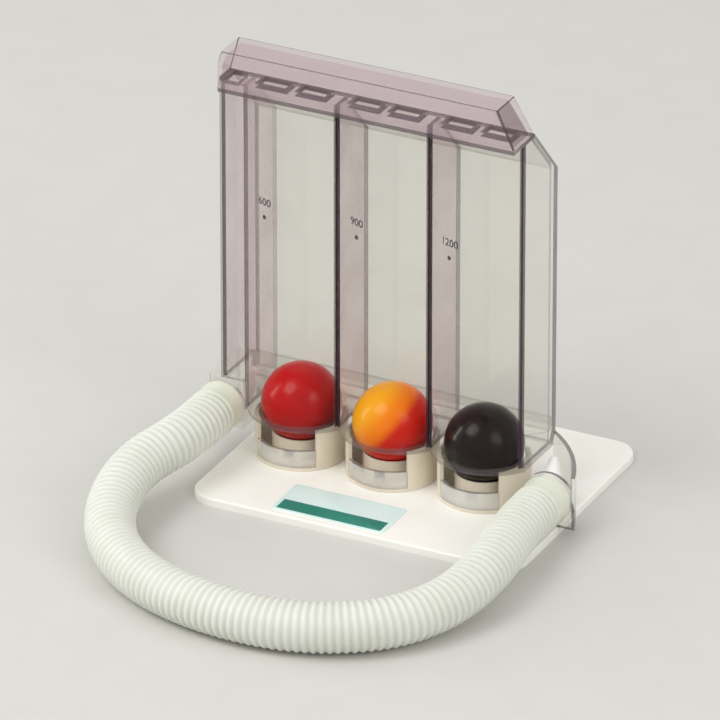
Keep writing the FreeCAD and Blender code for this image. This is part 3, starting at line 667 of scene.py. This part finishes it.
def cuff(name, node, held_radius):
    low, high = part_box(node)
    long = high.y - low.y
    outer = (high.x - low.x) / 2
    barrel = outer - BARREL
    shoulder = [(0.0, outer - RING_DEPTH), (0.4 * MM, outer - 0.4 * MM), (1.0 * MM, outer),
                (1.9 * MM, outer)]
    plain = [(2.4 * MM, barrel), (long - BEAD - 0.5 * MM, barrel)]
    bead = [(long - BEAD, outer - 0.1 * MM), (long - 0.9 * MM, outer), (long - 0.3 * MM, outer - 0.15 * MM),
            (long, outer - 0.5 * MM)]
    bore = [(long, held_radius), (0.0, held_radius)]
    profile = [*shoulder, *plain, *bead, *bore]
    shape = spun(profile + profile[:1], CUFF_STEPS)
    bmesh.ops.rotate(shape, verts=shape.verts, matrix=Matrix.Rotation(math.pi / 2, 3, "Z"))
    bmesh.ops.translate(shape, verts=shape.verts, vec=hose_end(node))
    bmesh.ops.recalc_face_normals(shape, faces=shape.faces)
    smooth_but_crisp(shape)
    piece = new_piece(name, shape, hose_finish)
    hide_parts(node)
    return piece


SPIGOT_RADIUS = 6.25 * MM
NECK_RADIUS = 5.85 * MM
cuffs = [
    cuff("cuff_on_port", "hose_cuff_port", SPIGOT_RADIUS),
    cuff("cuff_on_mouthpiece", "hose_cuff_mouth", NECK_RADIUS),
]
print("cuffs:", [piece.name for piece in cuffs])

# %% [markdown]
# ## Rounded copies of the rigid parts
#
# The frame's own meshes are exact, but they are loose triangles with knife edges. Moulded parts have a
# tiny radius on every edge, and that radius is what catches the light. So each rigid part is copied, its
# triangles are welded and dissolved into flat faces, its edges are bevelled by a few tenths of a
# millimetre, and the copy stands for the original.

# %% Rounded copies
FLAT_TURN = math.radians(0.6)
BEVEL_TURN = math.radians(35)
BEVEL_STEPS = 2
FINE_EDGE = 0.2 * MM
SOFT_EDGE = 0.25 * MM


def rounded_copy(node, material, edge=FINE_EDGE):
    shape = bmesh.new()
    shape.from_mesh(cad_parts[node].data)
    bmesh.ops.remove_doubles(shape, verts=shape.verts, dist=WELD)
    bmesh.ops.dissolve_limit(shape, angle_limit=FLAT_TURN, verts=shape.verts, edges=shape.edges)
    if edge:
        hard = [e for e in shape.edges if e.is_manifold and e.calc_face_angle(0.0) > BEVEL_TURN]
        bmesh.ops.bevel(shape, geom=hard, offset=edge, offset_type="OFFSET", segments=BEVEL_STEPS,
                        profile=0.5, affect="EDGES", material=-1, clamp_overlap=True)
    smooth_but_crisp(shape)
    piece = new_piece(f"finished_{node}", shape, material)
    flat = piece.modifiers.new("flat faces stay flat", "WEIGHTED_NORMAL")
    flat.keep_sharp = True
    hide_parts(node)
    return piece


SIDES = ("left", "middle", "right")
finishes = {
    "housing_floor": clear_deck,
    "side_wall_left": clear_upright,
    "side_wall_right": clear_outer,
    "duct_wall": clear_divider,
    "partition_left": clear_partition,
    "partition_right": clear_partition,
    "back_panel": clear_back,
    "roof_panel": clear_roof,
    "rear_rail": clear_back,
    "duct_front": clear_front,
    "outlet_plate": clear_ceiling,
    "top_cap": clear_hood,
    "port_elbow": clear_fitting,
    "port_spigot": clear_fitting,
    "mouthpiece_holder": clear_holder,
}
for side in SIDES:
    finishes[f"front_window_{side}"] = clear_window
    finishes[f"seat_guard_{side}"] = clear_guard
WIDE_EDGES = {"top_cap": 0.35 * MM, "port_elbow": 0.3 * MM}
for node, material in finishes.items():
    rounded_copy(node, material, edge=WIDE_EDGES.get(node, FINE_EDGE))
for side in SIDES:
    rounded_copy(f"ball_seat_{side}", seat_cream, edge=SOFT_EDGE)
rounded_copy("base_plate", base_white, edge=0.0)
mouthpiece = rounded_copy("mouthpiece", mouthpiece_white, edge=SOFT_EDGE)
print("rounded copies:", len(finishes) + len(SIDES) + 2)

# %% [markdown]

# %% [markdown]
# ## Balls
#
# Each ball is two thin shells welded at the middle, so it has a faint raised seam. A sphere alone would
# look like a bead. The seam is a real ridge: an odd number of rings leaves two of them close to the
# equator, those two are scaled outwards a little, and the whole ball is turned so that no two seams line up.
# Each ball's colour comes from a ramp along the direction of the key lamp at the upper left: painted light
# and shade. The yellow ball is painted yellow where it is lit at its upper left and red in shade at its
# lower right;
# the other two are painted lighter and darker along the same direction.

# %% Balls
SEAM_HEIGHT = 1.006
SEAM_BAND = 0.45 * MM
BALL_TURNS = (0.5, 1.1, 1.9)
BALL_ROUGHNESS = 0.22
BALL_STEPS = 96
BALL_RINGS = 49


def ball_finish(name, direction, stops):
    """A glossy shell whose colour runs along a direction through the ball's centre: painted light and shade.
    """
    material, tree, _, skin = moulded_skin(name, BALL_ROUGHNESS, under=0.08, depth=1.5 * MM,
                                           grain_height=0.01 * MM)
    skin.inputs["Specular IOR Level"].default_value = 0.14
    skin.inputs["Coat Weight"].default_value = 0.1
    skin.inputs["Coat Roughness"].default_value = 0.1
    place = shader_node(tree, "ShaderNodeTexCoord")
    centred = shader_node(tree, "ShaderNodeVectorMath", operation="SUBTRACT")
    along = shader_node(tree, "ShaderNodeVectorMath", operation="DOT_PRODUCT")
    along.inputs[1].default_value = direction
    share = shader_node(tree, "ShaderNodeMapRange")
    ramp = shader_node(tree, "ShaderNodeValToRGB")
    ramp.color_ramp.interpolation = "EASE"
    while len(ramp.color_ramp.elements) < len(stops):
        ramp.color_ramp.elements.new(0.5)
    for element, (position, colour) in zip(ramp.color_ramp.elements, stops):
        element.position = position
        element.color = (*colour, 1.0)
    join(tree, place, "Object", centred, 0)
    join(tree, centred, "Vector", along, 0)
    join(tree, along, "Value", share, "Value")
    join(tree, share, "Result", ramp, "Fac")
    join(tree, ramp, "Color", skin, "Base Color")
    return material, centred, share


def make_ball(node, body, turn, direction, stops):
    low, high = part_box(node)
    centre = (low + high) / 2
    radius = (high.z - low.z) / 2
    shape = bmesh.new()
    bmesh.ops.create_uvsphere(shape, u_segments=BALL_STEPS, v_segments=BALL_RINGS,
                              radius=radius / SEAM_HEIGHT)
    for vertex in shape.verts:
        if abs(vertex.co.z) < SEAM_BAND:
            vertex.co *= SEAM_HEIGHT
    tumble = Matrix.Rotation(turn, 3, "X") @ Matrix.Rotation(turn, 3, "Z")
    bmesh.ops.rotate(shape, verts=shape.verts, matrix=tumble)
    bmesh.ops.translate(shape, verts=shape.verts, vec=centre)
    smooth_but_crisp(shape, math.pi)
    material, centred, share = ball_finish(f"{node}_shell", direction, stops)
    centred.inputs[1].default_value = centre
    share.inputs["From Min"].default_value = -radius
    share.inputs["From Max"].default_value = radius
    piece = new_piece(f"shell_{node}", shape, material, body)
    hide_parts(node)
    return piece


# Painted light and shade: the ball ramps run along this direction, lighter towards the key lamp at the upper
# left and darker in shade at the lower right.
PAINTED_LIGHT_FROM = Vector((-0.75, -0.2, 0.65)).normalized()
DEEP_RED = [(0.0, (0.24, 0.0, 0.001)), (0.45, (0.42, 0.0, 0.001)), (1.0, (0.48, 0.0005, 0.002))]
SUNSET = [(0.0, (0.50, 0.001, 0.0)), (0.44, (0.64, 0.008, 0.0)), (0.60, (0.88, 0.19, 0.001)),
          (0.88, (0.86, 0.36, 0.004))]
NEAR_BLACK = [(0.0, (0.008, 0.0, 0.001)), (0.6, (0.005, 0.0, 0.0005)), (1.0, (0.008, 0.0005, 0.001))]
balls = [
    ("ball_red", "red_ball", DEEP_RED),
    ("ball_yellow", "yellow_ball", SUNSET),
    ("ball_dark", "dark_ball", NEAR_BLACK),
]
for (node, body, stops), turn in zip(balls, BALL_TURNS):
    make_ball(node, body, turn, PAINTED_LIGHT_FROM, stops)
print("balls:", len(balls))

# %% [markdown]
# ## The label
#
# The label is a printed film on the base plate: a pale blue-white ground with a green band along its
# front edge. Its words are left off. A film has rounded corners and lies almost flat, so a thin plate
# with bevelled corners is enough, and the print is a pattern on Object coordinates.

# %% Label
label_low, label_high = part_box("label_plate")
CORNER = 1.2 * MM
CORNER_STEPS = 6
FILM_EDGE = 0.08 * MM
BAND_FRONT = 0.9 * MM
BAND_DEPTH = 6.2 * MM
BAND_SIDE = 1.4 * MM
SOFT_PRINT = 0.15 * MM

film, tree, skin = moulded_plastic("label_film", (0.72, 0.88, 0.87), (0.68, 0.85, 0.85), 0.25,
                                   grain_height=0.008 * MM)
ground = skin.inputs["Base Color"].links[0].from_node
axes = object_axes(tree)
band_low = label_low.y + BAND_FRONT
across = between(tree, axes, "X", label_low.x + BAND_SIDE, label_high.x - BAND_SIDE, SOFT_PRINT)
deep = between(tree, axes, "Y", band_low, band_low + BAND_DEPTH, SOFT_PRINT)
band = shader_node(tree, "ShaderNodeMath", operation="MULTIPLY")
printed = shader_node(tree, "ShaderNodeMix", data_type="RGBA")
printed.inputs["B"].default_value = (0.012, 0.215, 0.165, 1.0)
join(tree, across, "Value", band, 0)
join(tree, deep, "Value", band, 1)
join(tree, band, "Value", printed, "Factor")
join(tree, ground, "Result", printed, "A")
join(tree, printed, "Result", skin, "Base Color")

shape = bmesh.new()
bmesh.ops.create_cube(shape, size=1.0)
bmesh.ops.scale(shape, verts=shape.verts, vec=label_high - label_low)
bmesh.ops.translate(shape, verts=shape.verts, vec=(label_low + label_high) / 2)
upright = [e for e in shape.edges if abs(e.verts[0].co.z - e.verts[1].co.z) > WELD]
bmesh.ops.bevel(shape, geom=upright, offset=CORNER, offset_type="OFFSET", segments=CORNER_STEPS,
                profile=0.5, affect="EDGES", material=-1)
rim = [e for e in shape.edges if min(v.co.z for v in e.verts) > label_high.z - WELD]
bmesh.ops.bevel(shape, geom=rim, offset=FILM_EDGE, offset_type="OFFSET", segments=BEVEL_STEPS,
                profile=0.5, affect="EDGES", material=-1)
smooth_but_crisp(shape)
label = new_piece("printed_label", shape, film)
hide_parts("label_plate")

# %% [markdown]
# ## Volume marks
#
# Each chamber carries a small printed number, the flow of air in millilitres a second that lifts its ball,
# and a dot under it. The number is a text object turned into a mesh. The window is a cylinder, so the flat
# text is wrapped onto it: a point's distance sideways becomes an angle round the window's axis.

# %% Volume marks
MARK_NUMBERS = ("600", "900", "1200")
MARK_HEIGHT = 3.6 * MM
MARK_WEIGHT = 0.06 * MM
MARK_TURN = math.radians(-17)
MARK_Z = 0.096
DOT_DROP = 5.2 * MM
DOT_RADIUS = 0.75 * MM
DOT_STEPS = 24
INK_GAP = 0.04 * MM

ink = moulded_plastic("mark_ink", (0.06, 0.04, 0.06), (0.05, 0.03, 0.05), 0.5)[0]


def wrapped(shape, node, turn, height):
    """Lay a flat XY mesh on the outside of a bowed window."""
    low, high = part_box(node)
    half = (high.x - low.x) / 2
    bow = high.y - low.y
    radius = (half * half + bow * bow) / (2 * bow)
    axis = Vector(((low.x + high.x) / 2, low.y + radius, 0))
    for vertex in shape.verts:
        angle = turn + vertex.co.x / radius
        away = radius + INK_GAP
        vertex.co = axis + Vector((away * math.sin(angle), -away * math.cos(angle), height + vertex.co.y))


for side, number in zip(SIDES, MARK_NUMBERS):
    words = bpy.data.curves.new(f"mark_{number}", "FONT")
    words.body = number
    words.size = MARK_HEIGHT
    words.offset = MARK_WEIGHT
    words.align_x = "CENTER"
    words.align_y = "CENTER"
    written = bpy.data.objects.new(f"mark_{number}", words)
    bpy.context.scene.collection.objects.link(written)
    bpy.context.view_layer.update()
    flat = bpy.data.meshes.new_from_object(written)
    bpy.data.objects.remove(written)
    shape = bmesh.new()
    shape.from_mesh(flat)
    bmesh.ops.remove_doubles(shape, verts=shape.verts, dist=WELD)
    bmesh.ops.create_circle(shape, cap_ends=True, radius=DOT_RADIUS, segments=DOT_STEPS,
                            matrix=Matrix.Translation((0, -DOT_DROP, 0)))
    wrapped(shape, f"front_window_{side}", MARK_TURN, MARK_Z)
    new_piece(f"volume_mark_{number}", shape, ink)
print("marks:", MARK_NUMBERS)

# %% [markdown]
# ## Floor and light
#
# The floor is plain and pale, a little darker than the white plastic, so that the plate and the hose
# stand out from it. Clear plastic shows what it reflects, so the lamps are large and soft: one broad key
# from the upper left, a fill from the right, and a tall strip at the far left. The strip is small and
# bright, so it draws a thin highlight on each ball and along the rounded edges. An even world light fills
# the shadows.

# %% Floor and light
FLOOR_SIZE = 6.0
floor_shape = bmesh.new()
bmesh.ops.create_grid(floor_shape, x_segments=2, y_segments=2, size=FLOOR_SIZE / 2)
floor_mesh = bpy.data.meshes.new("floor")
floor_shape.to_mesh(floor_mesh)
floor_shape.free()
floor_finish = moulded_plastic("floor_pale", (0.60, 0.595, 0.57), (0.59, 0.585, 0.56), 0.85,
                               grain_height=0.0)[0]
floor_mesh.materials.append(floor_finish)
floor = bpy.data.objects.new("floor", floor_mesh)
bpy.context.scene.collection.objects.link(floor)

AIM = Vector((0.0, -0.02, 0.05))
WORLD_LIGHT = 0.78


def soft_lamp(name, place, width, height, watts):
    lamp = bpy.data.lights.new(name, "AREA")
    lamp.shape = "RECTANGLE"
    lamp.size = width
    lamp.size_y = height
    lamp.energy = watts
    lit = bpy.data.objects.new(name, lamp)
    lit.location = place
    lit.rotation_euler = (AIM - Vector(place)).to_track_quat("-Z", "Y").to_euler()
    bpy.context.scene.collection.objects.link(lit)


soft_lamp("key", (-0.6, -0.9, 1.4), width=0.9, height=0.9, watts=12)
soft_lamp("fill", (1.3, -0.5, 0.9), width=0.8, height=0.8, watts=5)
soft_lamp("strip", (-1.3, -0.42, 0.35), width=0.16, height=1.0, watts=4)

world = bpy.data.worlds.new("even_light")
world.use_nodes = True
background = world.node_tree.nodes["Background"]
background.inputs["Color"].default_value = (1.0, 0.99, 0.97, 1.0)
background.inputs["Strength"].default_value = WORLD_LIGHT
bpy.context.scene.world = world

scene = bpy.context.scene
scene.view_settings.view_transform = "Standard"
scene.cycles.transparent_max_bounces = 48
scene.cycles.max_bounces = 12
